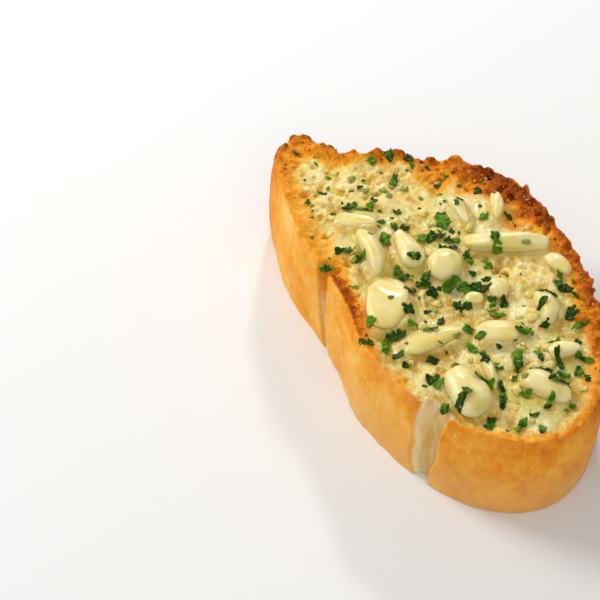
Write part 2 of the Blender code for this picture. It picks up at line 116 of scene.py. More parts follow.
def insideOf(polygon, x, y):
    # distance from a closed outline, positive inside it
    nearest, crossings = np.full(x.shape, 1e9), np.zeros(x.shape, int)
    for (ax, ay), (bx, by) in zip(np.roll(polygon, 1, 0), polygon):
        dx, dy = bx - ax, by - ay
        share = np.clip(((x - ax) * dx + (y - ay) * dy) / max(dx * dx + dy * dy, 1e-9), 0, 1)
        nearest = np.minimum(nearest, np.hypot(ax + share * dx - x, ay + share * dy - y))
        if ay != by:
            crossings += ((ay > y) != (by > y)) & (x < ax + dx * (y - ay) / dy)
    return np.where(crossings % 2 == 1, nearest, -nearest)


# a grid of cells over the slice
grid = {"cell": 0.34, "low": (-60.6, -34.2, -1.2), "high": (60.2, 33.4, 26.8)}
axes = [np.arange(low, high, grid["cell"]) for low, high in zip(grid["low"], grid["high"])]
shape = tuple(len(axis) for axis in axes)
gridX, gridY = np.meshgrid(axes[0], axes[1], indexing="ij")
plane, heights = gridX.shape, axes[2][None, None, :]


def cellOf(x, y):
    return tuple(round((value - start) / grid["cell"]) for value, start in zip((x, y), grid["low"]))


def splineWeights(count, wave):
    place = np.arange(count) * grid["cell"] / wave
    base = np.floor(place).astype(int)
    f = place - base
    parts = ((1 - f) ** 3, 3 * f**3 - 6 * f**2 + 4, -3 * f**3 + 3 * f**2 + 3 * f + 1, f**3)
    weights = np.zeros((count, base.max() + 4))
    for k, part in enumerate(parts):
        weights[np.arange(count), base + k] = part / 6
    return weights


def softNoise(size, wave, seed):
    # smooth noise of unit spread over the grid, with one wavelength in mm for each axis
    weights = [splineWeights(n, w) for n, w in zip(size, np.broadcast_to(wave, len(size)))]
    field = np.random.default_rng(seed).uniform(-1, 1, [w.shape[1] for w in weights])
    for axis, weight in enumerate(weights):
        field = np.moveaxis(np.tensordot(weight, field, (1, axis)), 0, axis)
    return (field / field.std()).astype(np.float32)


def layeredNoise(size, layers):
    return sum(height * softNoise(size, wave, seed) for wave, height, seed in layers)


def blurred(field, reach):
    frequency = [np.fft.fftfreq(n, grid["cell"]) for n in field.shape]
    fall = np.exp(-2 * (math.pi * reach) ** 2 * (frequency[0][:, None] ** 2 + frequency[1][None, :] ** 2))
    return np.fft.ifft2(np.fft.fft2(field) * fall).real


def readGrid(field, points):
    # values of a field of the grid at points in mm, straight between the cells
    low = np.array(grid["low"][: field.ndim])
    place = (points[:, : field.ndim] - low) / grid["cell"]
    base = np.clip(np.floor(place).astype(int), 0, np.array(field.shape) - 2)
    share = np.clip(place - base, 0, 1)
    total = np.zeros(len(points))
    for corner in np.ndindex((2,) * field.ndim):
        weight = np.prod([share[:, a] if c else 1 - share[:, a] for a, c in enumerate(corner)], axis=0)
        total += weight * field[tuple(base[:, a] + c for a, c in enumerate(corner))]
    return total


def turned(x, y, angle):
    return x * math.cos(angle) - y * math.sin(angle), x * math.sin(angle) + y * math.cos(angle)


def chunkClearance(chunk):
    # distance to a chunk's outline over the grid, below zero under it
    x0, y0, length, width, _, turn, power, _, bend = chunk
    along, across = turned(gridX - x0, gridY - y0, -math.radians(turn))
    x = abs(along) / (length / 2)
    y = abs(across / (width / 2) - bend * np.maximum(1 - x * x, 0))
    reach = np.maximum(x**power + y**power, 1e-6) ** (1 / power)
    slope = reach ** (1 - power) * np.hypot(x ** (power - 1) / (length / 2), y ** (power - 1) / (width / 2))
    return (reach - 1) / np.maximum(slope, 1e-3)


crumbLook = {
    "bump": 0.75, "bumpLength": 7.5,
    "poreDepth": 0.6, "poreSpacing": 5.0, "poreReach": 0.5,
    "sag": 0.5, "sagReach": 9.0,
    "rimRise": 0.3, "rimCrags": 0.4, "rimCragLength": 3.2, "rimNibble": 0.6, "rimPaleShare": 0.3,
    "seatMargin": 1.6, "seatBlend": 2.5,
    # butter rises round a chunk by a share of its height, and round those that lie deep by so many mm
    "meniscus": 0.3,
    "buried": {"flat": 1.5, "pillow": 1.4, "petal": 1.3, "strip": 1.3, "shaving": 1.0, "slab": 0.9},
    "fineCell": 1.7, "fineDepth": 0.16, "coarseCell": 3.6, "coarseDepth": 0.5, "cellWarp": 0.8,
    "dry": ((26, -21.5, 7), (47, -12, 6), (8.5, 14, 5)),  # x, y and reach of bare crumb
    "holes": 1000, "holeSizes": (0.3, 1.3), "holeStretch": (1, 1.9), "holeSink": (-0.1, 0.7),
    # layers of noise: wavelength in mm, height and seed
    "strands": ((1.5, 0.12, 25), (2.8, 0.2, 26)), "grain": ((0.9, 0.11, 22), (2.2, 0.14, 21)),
    "ragged": ((1.3, 0.3, 23), (0.8, 0.2, 28)), "crisp": ((0.9, 0.24, 41), (1.7, 0.26, 42), (3.4, 0.2, 46)),
}

outline = closedSpline(slab["outline"], slab["outlineSteps"])
rimDistance = insideOf(outline, gridX, gridY)
clearances = {name: chunkClearance(chunk) for name, chunk in garlic.items()}
clearance = np.min(list(clearances.values()), axis=0)
browning = gridY - slab["browningStart"] - slab["browningSlant"] * gridX
brownSide = smooth(0, 1, browning / slab["browningReach"])


def pointwise(function):
    # a noise of Blender's own, read at each point of the plane
    spots = np.stack((gridX.ravel(), gridY.ravel()), 1)
    values = np.array([function(Vector((x, y, 0))) for x, y in spots])
    return np.moveaxis(values.reshape(*plane, -1), -1, 0)


def cellWalls(size, shift):
    # 0 on the walls between the crumb's bubbles, rising inside them
    def walls(spot):
        bent = spot / size + crumbLook["cellWarp"] * noise.noise_vector(spot / (1.6 * size) + shift)
        near, far = noise.voronoi(Vector((bent.x / 1.3, bent.y, 0)) + shift)[0][:2]
        return far - near
    return pointwise(walls)[0]


bumps = pointwise(lambda spot: noise.noise(spot / crumbLook["bumpLength"]))[0]
dimples = pointwise(lambda spot: noise.voronoi(spot / crumbLook["poreSpacing"])[0][0])[0]
crags, nibbles, _ = pointwise(lambda spot: noise.noise_vector(spot / crumbLook["rimCragLength"]))
fineCells = smooth(0.04, 0.5, cellWalls(crumbLook["fineCell"], Vector((3, 7, 1))))
coarseCells = smooth(0.06, 0.6, cellWalls(crumbLook["coarseCell"], Vector((11, 2, 5))))
print("plane fields ready")

# how wet with butter the crumb is, and how toasted
wetNoise = softNoise(plane, 8, 11)
rimNoise = softNoise(plane, 4, 12) + 0.6 * softNoise(plane, 1.8, 13)
toastAlong = {  # x, how wide the toasted band is and how strong, along each side
    "pale": (
        (-60, 17, 0.6), (-50, 15, 0.54), (-42, 13.5, 0.48), (-36, 12, 0.44), (-30, 10, 0.42), (-20, 8, 0.42),
        (-14, 6, 0.5), (-9, 5.6, 0.8), (3, 5.2, 0.86), (10, 4.4, 0.74), (18, 3.4, 0.5), (28, 2.8, 0.42),
        (34, 1.5, 0.1), (42, 1.6, 0.15), (48, 3.5, 0.36), (60, 4.5, 0.54),
    ),
    "brown": (
        (-60, 10, 0.62), (-52, 8, 0.58), (-44, 5.5, 0.6), (-38, 5, 0.66), (-33, 8, 0.66), (-28, 8.5, 0.68),
        (-23, 10.5, 0.88), (-12, 11.5, 0.94), (-4, 11, 0.86), (8, 8, 0.76), (20, 8, 0.84), (32, 6.5, 0.7),
        (45, 6.5, 0.76), (60, 6, 0.66),
    ),
}


def alongRim(column):
    pale, brown = (np.interp(gridX, *np.array(rows)[:, [0, column]].T) for rows in toastAlong.values())
    return pale + (brown - pale) * brownSide


bandShare = rimDistance / (alongRim(1) * (1 + 0.2 * rimNoise))
toast = np.clip(alongRim(2) * (1 - smooth(0.15, 1.35, bandShare)), 0, 1)
dry = sum(1 - smooth(0.4, 1, np.hypot(gridX - x, gridY - y) / reach) for x, y, reach in crumbLook["dry"])
wet = smooth(-0.7, 0.8, wetNoise * 0.6 + 0.9 * smooth(-36, -18, gridX) - 0.2 - 1.3 * dry
             + 0.9 * (1 - smooth(0.3, 3, clearance)) - 1.6 * toast - 0.8 * (1 - smooth(1, 4, rimDistance)))
sheet = np.maximum(wet, 0.8 * (1 - smooth(0.3, 1.5, clearance))) * smooth(1.5, 5, rimDistance)
sheet *= smooth(-0.6, 0.1, softNoise(plane, 4.5, 15) + 0.9 * (1 - smooth(0.3, 3.5, clearance)))


def topHeight():
    look, inside = crumbLook, np.maximum(rimDistance, 0)
    loose = smooth(0, 1, (clearance - look["seatMargin"]) / look["seatBlend"])
    sag = look["sag"] * smooth(0, 1, inside / look["sagReach"])
    pore = look["poreDepth"] * smooth(0, 1, 1 - dimples / look["poreReach"]) * smooth(3, 8, inside)
    level = look["sag"] - sag + look["bump"] * bumps - pore
    openCrumb = smooth(-0.5, 1.1, softNoise(plane, 7, 24)) * (1 - 0.65 * smooth(-20, -36, gridX))
    cells = look["fineDepth"] * fineCells + look["coarseDepth"] * openCrumb * coarseCells
    fine = layeredNoise(plane, look["grain"])
    for wave, rise, seed in look["strands"]:
        fine += rise * np.clip(1 - abs(softNoise(plane, (1.4 * wave, wave), seed)) / 0.4, 0, 1)
    height = slab["thickness"] - look["sag"] + 0.15 + level * loose + fine - cells
    pool = blurred(height, 1.6) - 0.05
    height += wet * 0.5 * np.maximum(pool - height, 0)
    height += 0.95 * sheet * (blurred(height, 1.6) + 0.2 - height)
    uneven = np.clip(0.75 + 0.35 * softNoise(plane, 4, 27), 0.1, 1.4)
    for name, distance in clearances.items():
        rise = look["buried"].get(name, look["meniscus"] * garlic[name][4]) * uneven
        lift = rise * (1 - smooth(-0.5, 0.7 + 1.2 * rise, distance))
        butter = slab["thickness"] - 0.35 + lift + 0.25 * fine
        share = 1 - smooth(0.1, 0.8 + 1.3 * rise, distance)
        height = height * (1 - share) + np.maximum(height, butter) * share
    edge = 1 - smooth(0.6, 3.5, inside)
    browned = look["rimPaleShare"] + (1 - look["rimPaleShare"]) * brownSide
    rise = look["rimRise"] + look["rimCrags"] * crags * browned
    return height + edge * (rise + brownSide * layeredNoise(plane, look["ragged"]))


def shifted(field, dx, dy):
    for axis, move in enumerate((dx, dy)):
        whole, part = divmod(move / grid["cell"], 1)
        near, far = np.roll(field, int(whole), axis), np.roll(field, int(whole) + 1, axis)
        field = near * (1 - part) + far * part
    return field


def wallField():
    # distance inside the crust over the whole grid
    field = np.empty(shape, np.float32)
    for k, z in enumerate(axes[2]):
        share = min(max(z / slab["thickness"], 0), 1)
        move = [part * (1 - share) for part in slab["bottomShift"]]
        field[:, :, k] = shifted(rimDistance, *move) + slab["wallBulge"] * math.sin(math.pi * share)
    field += layeredNoise(shape, slab["wallNoise"])
    return field + layeredNoise(shape, slab["wallGrain"])


def tearField(name, seed):
    # distance from a tear's gap, negative in it
    tear, draw, levels = slab["tears"][name], random.Random(seed), []
    low, high = -slab["tearOverrun"], slab["thickness"] + slab["tearOverrun"]
    for z in np.linspace(low, high, slab["tearSteps"] + 1):
        share = z / slab["thickness"]
        left, right = (
            bottom + (top - bottom) * share + draw.uniform(-0.4, 0.4)
            for bottom, top in zip(tear["bottom"], tear["top"])
        )
        levels.append((z, left, right, tear["depth"] * draw.uniform(0.9, 1.1)))
    levels = np.array(levels)
    lower = outline[outline[:, 1] < 0]
    lower = lower[np.argsort(lower[:, 0])]
    field = np.full(shape, 9.0, np.float32)
    near = slice(*np.searchsorted(axes[0], (min(tear["top"]) - 8, max(tear["top"]) + 8)))
    for k, z in enumerate(axes[2]):
        left, right, depth = (np.interp(z, levels[:, 0], levels[:, column]) for column in (1, 2, 3))
        share = z / slab["thickness"]
        edge = np.interp((left + right) / 2, lower[:, 0], lower[:, 1]) + slab["bottomShift"][1] * (1 - share)
        gap = [(left + x * (right - left), edge + y * depth) for x, y in slab["tearProfile"]]
        field[near, :, k] = -insideOf(np.array(gap), gridX[near], gridY[near])
    return field


def anyPlace(draw):
    # a random x and y in the box round the slice
    return [draw.uniform(*span) for span in zip(outline.min(0), outline.max(0))]


def softMin(a, b, blend):
    share = np.clip(0.5 + 0.5 * (b - a) / blend, 0, 1)
    return b * (1 - share) + a * share - blend * share * (1 - share)


def sinkHoles(field, top):
    # little bubbles of the crumb, cut where they break the surface
    draw, look = random.Random(51), crumbLook
    cell, uneven = grid["cell"], softNoise(shape, 1.3, 52)
    small, large = look["holeSizes"]
    for _ in range(look["holes"]):
        x, y = anyPlace(draw)
        i, j = cellOf(x, y)
        radius = small + (large - small) * draw.random() ** (3.5 - 2 * min(dry[i, j], 1))
        stretch, turn = draw.uniform(*look["holeStretch"]), draw.uniform(0, math.pi)
        sink = draw.uniform(*look["holeSink"])
        if rimDistance[i, j] < radius + (1.2 if x > -34 else 5) or clearance[i, j] < radius + 0.4:
            continue
        radius *= 1 - 0.75 * wet[i, j]
        if radius < 0.25:
            continue
        z = top[i, j] - sink * radius
        k = round((z - grid["low"][2]) / cell)
        reach = int(radius * stretch / cell) + 2
        part = tuple(slice(max(c - reach, 0), c + reach + 1) for c in (i, j, k))
        px, py, pz = np.meshgrid(*(axis[s] for axis, s in zip(axes, part)), indexing="ij")
        along, across = turned(px - x, py - y, -turn)
        hollow = radius - np.sqrt((along / stretch) ** 2 + across**2 + (pz - z) ** 2) + 0.22 * uneven[part]
        field[part] = softMin(field[part], -hollow, 0.25)


top = topHeight()
wall = wallField()
rimCut = crumbLook["rimNibble"] * brownSide * np.maximum(nibbles + crumbLook["rimPaleShare"], 0)
for x, y, depth, reach in slab["nicks"]:
    rimCut += depth * smooth(0, 1, 1 - np.hypot(gridX - x, gridY - y) / reach)
solid = softMin(wall - rimCut[:, :, None] * smooth(20.5, 23.6, heights), top[:, :, None] - heights, 0.5)
crumbly = (brownSide * toast)[:, :, None] * smooth(19, 22.5, heights)
for wave, depth, seed in crumbLook["crisp"]:
    solid += crumbly * depth * softNoise(shape, wave, seed)
innards = smooth(0.7, 1.5, wall) * (1 - 0.8 * wet[:, :, None])
solid += innards * 0.07 * softNoise(shape, 0.8, 43)
tearDistance = np.minimum(tearField("narrow", 61), tearField("wide", 62))
tearDistance += layeredNoise(shape, slab["tearNoise"])
solid = softMin(solid, tearDistance, 0.4)
sinkHoles(solid, top)
solid = softMin(solid, np.broadcast_to(heights, shape), 0.3).astype(np.float32)
for axis in range(3):
    edge = [slice(None)] * 3
    for side in (0, -1):
        edge[axis] = side
        solid[tuple(edge)] = np.minimum(solid[tuple(edge)], -0.5)
relief = top - blurred(top, 1.4)
print("bread field ready", shape)


def meshFromField(name, field):
    volume = openvdb.FloatGrid()
    volume.copyFromArray(-field)
    points, triangles, quads = volume.convertToPolygons(0.0, 0.01)  # at 0, a little simplified
    points = points * grid["cell"] + np.array(grid["low"])
    mesh = bpy.data.meshes.new(name)
    mesh.from_pydata((points + drawingShift) * mm, [], triangles.tolist() + quads.tolist())
    keepLargest(mesh)
    mesh.shade_smooth()
    return mesh


def keepLargest(mesh):
    # drops loose scraps and sealed bubbles, and turns the faces outwards
    work = bmesh.new()
    work.from_mesh(mesh)
    waiting, bodies = set(work.verts), []
    while waiting:
        body = [waiting.pop()]
        for vert in body:  # it grows as its neighbours join
            joined = waiting.intersection(edge.other_vert(vert) for edge in vert.link_edges)
            waiting -= joined
            body.extend(joined)
        bodies.append(body)
    bodies.sort(key=len)
    bmesh.ops.delete(work, geom=[vert for body in bodies[:-1] for vert in body], context="VERTS")
    if work.calc_volume(signed=True) < 0:
        bmesh.ops.reverse_faces(work, faces=work.faces)
    work.to_mesh(mesh)
    work.free()


def rawPoints(mesh):
    points = np.empty(len(mesh.vertices) * 3, np.float32)
    mesh.vertices.foreach_get("co", points)
    return points.reshape(-1, 3).astype(float)


def meshPoints(mesh):
    return rawPoints(mesh) / mm - drawingShift


def placePoints(mesh, points):
    # from the drawing's millimetres to the frame
    mesh.vertices.foreach_set("co", ((points + drawingShift) * mm).astype(np.float32).ravel())
    mesh.update()


def sphereMesh(name, detail):
    work, mesh = bmesh.new(), bpy.data.meshes.new(name)
    bmesh.ops.create_icosphere(work, subdivisions=detail, radius=1)
    work.to_mesh(mesh)
    work.free()
    return mesh


def giveAttributes(mesh, **fields):
    for name, values in fields.items():
        values = np.asarray(values)
        kind, field = ("FLOAT_VECTOR", "vector") if values.ndim == 2 else ("FLOAT", "value")
        if values.dtype.kind == "i":
            kind = "INT"
        mesh.attributes.new(name, kind, "POINT").data.foreach_set(field, values.ravel())


def linked(name, data):
    item = bpy.data.objects.new(name, data)
    bpy.context.scene.collection.objects.link(item)
    return item


def evaluatedMesh(item):
    # the item's mesh with its modifiers applied, and the item is removed
    bpy.context.view_layer.update()
    mesh = bpy.data.meshes.new_from_object(item.evaluated_get(bpy.context.evaluated_depsgraph_get()))
    bpy.data.objects.remove(item)
    return mesh


def triangleCount(mesh):
    return sum(len(face.vertices) - 2 for face in mesh.polygons)


def addPiece(name, mesh, material, slot, *nodes):
    piece = linked(name, mesh)
    mesh.materials.clear()
    mesh.materials.append(material)
    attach(piece, "root")
    if nodes:
        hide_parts(*nodes)
    return piece


def addNode(tree, kind, settings, sockets):
    # the settings first, then the values or links of the sockets
    made = tree.nodes.new(kind)
    for name, value in settings.items():
        if name == "stops":
            fillRamp(made.color_ramp, value)
        else:
            setattr(made, name, value)
    for key, value in sockets.items():
        if isinstance(value, bpy.types.NodeSocket):
            tree.links.new(value, made.inputs[key])
        else:
            made.inputs[key].default_value = value
    return made


def fillRamp(ramp, stops):
    while len(ramp.elements) < len(stops):
        ramp.elements.new(0.5)
    for element, (place, colour) in zip(ramp.elements, stops):
        element.position, element.color = place, (*colour, 1)


def lightInside(weight, radius, scale):
    return {"Subsurface Weight": weight, "Subsurface Radius": radius, "Subsurface Scale": scale * mm}


class Wire:
    # a node's output, on which plain maths can be written
    def __init__(self, paint, socket):
        self.paint, self.socket = paint, socket

    def maths(self, operation, first, second):
        return self.paint.node("ShaderNodeMath", {"operation": operation}, {0: first, 1: second})

    def __add__(self, other):
        return self.maths("ADD", self, other)

    def __sub__(self, other):
        return self.maths("SUBTRACT", self, other)

    def __rsub__(self, other):
        return self.maths("SUBTRACT", other, self)

    def __mul__(self, other):
        return self.maths("MULTIPLY", self, other)

    __radd__, __rmul__ = __add__, __mul__

    def step(self, low, high):
        # 0 at low, 1 at high, smooth between
        sockets = {"Value": self, "From Min": low, "From Max": high}
        return self.paint.node("ShaderNodeMapRange", {"interpolation_type": "SMOOTHSTEP"}, sockets)


class Paint:
    # one material and the nodes in it
    def __init__(self, name):
        self.material = bpy.data.materials.new(name)
        self.material.use_nodes = True
        self.tree = self.material.node_tree
        self.tree.nodes.clear()

    def node(self, kind, settings, sockets, output=0):
        sockets = {key: getattr(value, "socket", value) for key, value in sockets.items()}
        return Wire(self, addNode(self.tree, kind, settings, sockets).outputs[output])

    def attribute(self, name):
        return self.node("ShaderNodeAttribute", {"attribute_name": name}, {}, "Fac")

    def noise(self, wave, detail, stretch=(1, 1, 1)):
        # 0 to 1, with a wavelength in mm, stretched along an axis whose number is below 1
        where = self.node("ShaderNodeTexCoord", {}, {}, "Object")
        scale = [part / mm for part in stretch]
        place = self.node("ShaderNodeMapping", {}, {"Vector": where, "Scale": scale})
        return self.node("ShaderNodeTexNoise", {}, {"Vector": place, "Scale": 1 / wave, "Detail": detail})

    def ridges(self, wave):
        # 1 along thin winding strands, 0 between them
        middle = self.noise(wave, 1) - 0.5
        return 1 - middle.maths("ABSOLUTE", middle, 0).step(0.0, 0.07)

    def mix(self, share, first, second):
        return self.node("ShaderNodeMix", {"data_type": "RGBA"}, {0: share, 6: first, 7: second}, 2)

    def ramp(self, stops, share):
        return self.node("ShaderNodeValToRGB", {"stops": stops}, {"Fac": share})

    def bump(self, height, distance, strength):
        sockets = {"Height": height, "Distance": distance * mm, "Strength": strength}
        return self.node("ShaderNodeBump", {}, sockets)

    def shader(self, sockets):
        return self.node("ShaderNodeBsdfPrincipled", {}, sockets)

    def finish(self, shader):
        addNode(self.tree, "ShaderNodeOutputMaterial", {}, {"Surface": shader.socket})
        return self.material


breadColours = {
    "crumb": (0.89, 0.72, 0.28, 1), "peach": (0.87, 0.58, 0.24, 1), "strand": (0.97, 0.89, 0.58, 1),
    # the first colour below is painted shade, put in hollows and holes of the crumb
    "pit": (0.5, 0.29, 0.01, 1), "butter": (0.76, 0.65, 0.17, 1), "oil": (0.6, 0.34, 0.008, 1),
    "melted": (0.85, 0.58, 0.1, 1), "torn": (0.72, 0.46, 0.14, 1), "tornPale": (0.92, 0.78, 0.5, 1),
    "sheetPale": (0.81, 0.75, 0.37, 1), "sheetYellow": (0.72, 0.62, 0.16, 1),
    "speck": (0.95, 0.7, 0.36, 1), "dust": (0.85, 0.5, 0.19, 1),
}
toastStops = (  # from bare crumb to char
    (0.1, (0.86, 0.6, 0.17)), (0.32, (0.88, 0.46, 0.06)), (0.54, (0.8, 0.29, 0.018)),
    (0.76, (0.46, 0.1, 0.006)), (1.0, (0.17, 0.03, 0.005)),
)
crustStops = (  # from pale to well baked
    (0.0, (0.94, 0.55, 0.15)), (0.25, (0.91, 0.41, 0.05)), (0.5, (0.81, 0.27, 0.018)),
    (0.75, (0.55, 0.14, 0.01)), (1.0, (0.26, 0.05, 0.006)),
)


def breadMaterial():
    paint = Paint("toastedBread")
    c, mix = breadColours, paint.mix
    names = "skin toast butter pit relief near torn tornEdge bake dust sheet".split()
    skin, toasted, butter, pit, relief, near, torn, tornEdge, bake, dust, sheet = map(paint.attribute, names)
    broad, patches, grain = paint.noise(9, 3), paint.noise(2.4, 4), paint.noise(0.5, 3)
    fibres, strands = paint.noise(1.1, 3, (0.5, 1, 1)), paint.ridges(1.3)
    crumb = mix(patches.step(0.5, 0.7) * (0.7 - 0.6 * butter), c["crumb"], c["peach"])
    high = (relief + 0.22 * strands + 0.4 * (fibres - 0.5)).step(0.05, 0.3)
    crumb = mix(high * 0.8, crumb, c["strand"])
    # painted shade: the hollows of the crumb's relief are darkened
    deep = (0.1 - relief - 0.1 * strands + 0.7 * (grain - 0.5)).step(0.1, 0.45)
    crumb = mix(deep * 0.75, crumb, c["pit"])
    crumb = mix(paint.noise(3.4, 2).step(0.52, 0.68) * (0.75 - 0.6 * butter), crumb, c["melted"])
    soaked = mix((relief + 0.8 * (broad - 0.5)).step(-0.22, 0.1), c["oil"], c["butter"])
    crumb = mix(butter.step(0.1, 0.9) * (0.2 + 0.9 * patches - 0.35 * strands), crumb, soaked)
    spread = mix((broad + 0.4 * (fibres - 0.5)).step(0.4, 0.6), c["sheetYellow"], c["sheetPale"])
    crumb = mix(sheet * 0.92, crumb, spread)
    # oil pools, drawn a little more near chunks and in hollows, which adds painted shade there
    pools = (paint.noise(3.2, 2) + 0.16 * near + 0.05 * butter - 0.25 * relief).step(0.58, 0.72)
    crumb = mix(pools * (0.85 - 0.6 * sheet), crumb, c["oil"])
    # partly oil and partly painted shade: a darker ring round the foot of each garlic chunk
    ring = near * (patches + 0.3 * (broad - 0.5)).step(0.36, 0.62)
    crumb = mix(ring * 0.6, crumb, c["oil"])
    # painted shade in holes, tears and dips, darker the further below the top
    crumb = mix(pit.step(0.5, 1.8) * 0.5, crumb, c["pit"])
    # partly paler torn crumb and partly a painted highlight: a pale glint strip along the tear's edge by the
    # crust
    layers = (paint.noise(1.6, 3, (1, 1, 0.3)) + 0.5 * tornEdge).step(0.3, 0.9)
    crumb = mix(torn * 0.9, crumb, mix(layers, c["torn"], c["tornPale"]))
    level = toasted + 0.55 * (patches - 0.5) + 0.5 * (grain - 0.5) + 0.2 * relief
    crumb = mix(level.step(0.03, 0.3), crumb, paint.ramp(toastStops, level))
    streaks = paint.noise(1.4, 3, (1, 1, 0.5))
    depth = bake + 0.85 * (broad - 0.5) + 0.34 * (streaks - 0.5)
    depth = depth + 0.4 * (patches - 0.5) + 0.16 * (grain - 0.5)
    specks = paint.noise(0.9, 1).step(0.68, 0.74) * (0.65 - 0.55 * bake)
    crust = mix(specks, paint.ramp(crustStops, depth), c["speck"])
    crust = mix(dust * (0.25 + 0.6 * streaks), crust, c["dust"])
    colour = mix((skin + 0.5 * (grain - 0.5)).step(0.3, 1.1), crust, crumb)
    bare = skin.step(0.6, 1.2)
    rough = bare * (1 - 0.8 * torn) * (0.8 * strands + paint.noise(0.9, 4)) + (1 - bare) * 0.8 * streaks
    bump = paint.bump((grain + rough + 0.4 * paint.noise(0.22, 2)) * (1 - 0.9 * sheet), 0.17, 0.75)
    ripples = paint.bump(grain * (1 - 0.7 * sheet) + paint.noise(1.2, 3), 0.5, 1.0)
    soft = {"Base Color": colour, "Normal": bump, **lightInside(0.3, (1.0, 0.5, 0.16), 1.4)}
    matte = paint.shader({**soft, "Roughness": 0.6, "Specular IOR Level": 0.04})
    greasy = paint.shader({**soft, "Normal": ripples, "Roughness": 0.1, "Specular IOR Level": 0.7})
    moist = (butter * (1 - toasted) + 0.6 * (broad - 0.5)).step(0.1, 0.7)
    return paint.finish(paint.node("ShaderNodeMixShader", {}, {0: moist, 1: matte, 2: greasy}))


def makeBread():
    mesh = meshFromField("slice", solid)
    points = meshPoints(mesh)
    x, y, z = points.T

    def at(field):
        return readGrid(field, points)

    under = at(blurred(top, 1.2)) - z
    surface = smooth(2.5, 0.8, under)
    baked = 0.22 + 0.6 * at(brownSide) + 0.3 * smooth(-38, -54, x) + 0.14 * smooth(40, 46, x)
    baked += smooth(16, 24, z) * (0.12 - 0.3 * np.exp(-(((x + 33) / 9) ** 2)))
    giveAttributes(
        mesh, skin=np.minimum(at(wall), 6), toast=at(toast) * smooth(12, 22, z), butter=at(wet) * surface,
        # the first value on the next line is painted shade, by depth below the top
        pit=np.clip(under, 0, 3) * smooth(0.5, 2, z), relief=at(relief) * surface, sheet=at(sheet) * surface,
        # near, on the next line, carries painted shade round the garlic chunks
        near=(1 - smooth(0.2, 2.2, at(clearance))) * surface,
        # the second value on the next line is paler torn crumb and a painted highlight near the crust
        torn=smooth(1.3, 0.3, at(tearDistance)), tornEdge=smooth(2.6, 0.4, at(wall)),
        bake=baked - 0.75 * np.maximum(baked - 0.7, 0),
        dust=smooth(17, 2, z) * smooth(0.6, 0.3, baked) * smooth(-15, 15, x),
    )
    print("bread:", len(points), "points", triangleCount(mesh), "triangles")
    return addPiece("slice", mesh, breadMaterial(), "bread", "bread")


breadPiece = makeBread()

garlicLook = {
    "firstSeed": 71, "detail": 5, "waist": 0.36, "seatLevel": 23.8, "dents": 0.09,
    "facets": 3.2, "mostFacets": 5,  # more on slim, high chunks
    "facetDepth": (0.78, 0.95), "facetBlend": 0.12, "facetShare": 0.85, "soakedHeight": 1.8,
    "flesh": (0.78, 0.67, 0.23, 1), "fleshPale": (0.84, 0.77, 0.42, 1), "soaked": (0.78, 0.57, 0.1, 1),
}


def garlicMaterial():
    paint = Paint("butteredGarlic")
    low = paint.attribute("base")
    cloud = paint.noise(4.5, 2)
    colour = paint.mix(cloud.step(0.35, 0.65), garlicLook["flesh"], garlicLook["fleshPale"])
    soaked = (low + 0.5 * (cloud - 0.5)).step(0.3, 0.9) * 0.75 + 0.3 * paint.attribute("flat")
    colour = paint.mix(soaked, colour, garlicLook["soaked"])
    bump = paint.bump(paint.noise(1.6, 2) + 0.25 * paint.noise(0.5, 2), 0.12, 0.4)
    return paint.finish(paint.shader({
        "Base Color": colour, "Roughness": 0.42, "Normal": bump, **lightInside(0.75, (1.0, 0.9, 0.55), 2.2),
        "IOR": 1.4, "Coat Weight": 0.2, "Coat Roughness": 0.18,
    }))


def knifeCuts(points, draw, count):
    # pares a few flat faces off a rounded lump of unit size
    for _ in range(count):
        angle, lean = draw.uniform(0, 2 * math.pi), draw.uniform(0.5, 1.2)
        level = math.cos(lean)
        normal = np.array((math.cos(angle) * level, math.sin(angle) * level, math.sin(lean)))
        past = np.maximum(points @ normal - draw.uniform(*garlicLook["facetDepth"]), 0)
        past = past * past / (past + garlicLook["facetBlend"])
        points = points - garlicLook["facetShare"] * past[:, None] * normal
    return points


def makeChunk(name, chunk, material, seed):
    x0, y0, length, width, height, turn, power, taper, bend = chunk
    draw, look = random.Random(seed), garlicLook
    mesh = sphereMesh("garlic" + name.capitalize(), look["detail"])
    way = rawPoints(mesh)
    way /= np.linalg.norm(way, axis=1)[:, None]
    points = way * (np.sum(abs(way) ** power, axis=1) ** (-1 / power))[:, None]
    facets = min(int(look["facets"] * height * length / width**2), look["mostFacets"])
    points = knifeCuts(points, draw, facets)
    offset = Vector([draw.uniform(0, 50) for _ in range(3)])
    dents = [noise.noise(Vector(w) * 1.4 + offset) + 0.2 * noise.noise(Vector(w) * 3 + offset) for w in way]
    points *= (1 + look["dents"] * np.array(dents))[:, None]
    x, y, z = points.T
    y = y * (1 - abs(taper) * (1 + math.copysign(1, taper) * x) / 2) + bend * (1 - x * x)
    z = np.clip(look["waist"] + z * (1 - look["waist"]), -0.04, None)
    angle = math.radians(turn)
    x, y = x * length / 2, y * width / 2
    placePoints(mesh, np.stack((
        x0 + x * math.cos(angle) - y * math.sin(angle), y0 + x * math.sin(angle) + y * math.cos(angle),
        look["seatLevel"] + z * height,
    ), 1))
    soaked = 1 - np.clip(z * height / look["soakedHeight"], 0, 1)
    giveAttributes(mesh, base=soaked, flat=np.full(len(z), smooth(0.6, 0.3, height / width)))
    mesh.shade_smooth()
    return addPiece(mesh.name, mesh, material, "garlic", "garlic_" + name)


garlicPaint = garlicMaterial()
garlicPieces = [
    makeChunk(name, chunk, garlicPaint, seed)
    for seed, (name, chunk) in enumerate(garlic.items(), garlicLook["firstSeed"])
]
print("garlic:", len(garlicPieces), "chunks")


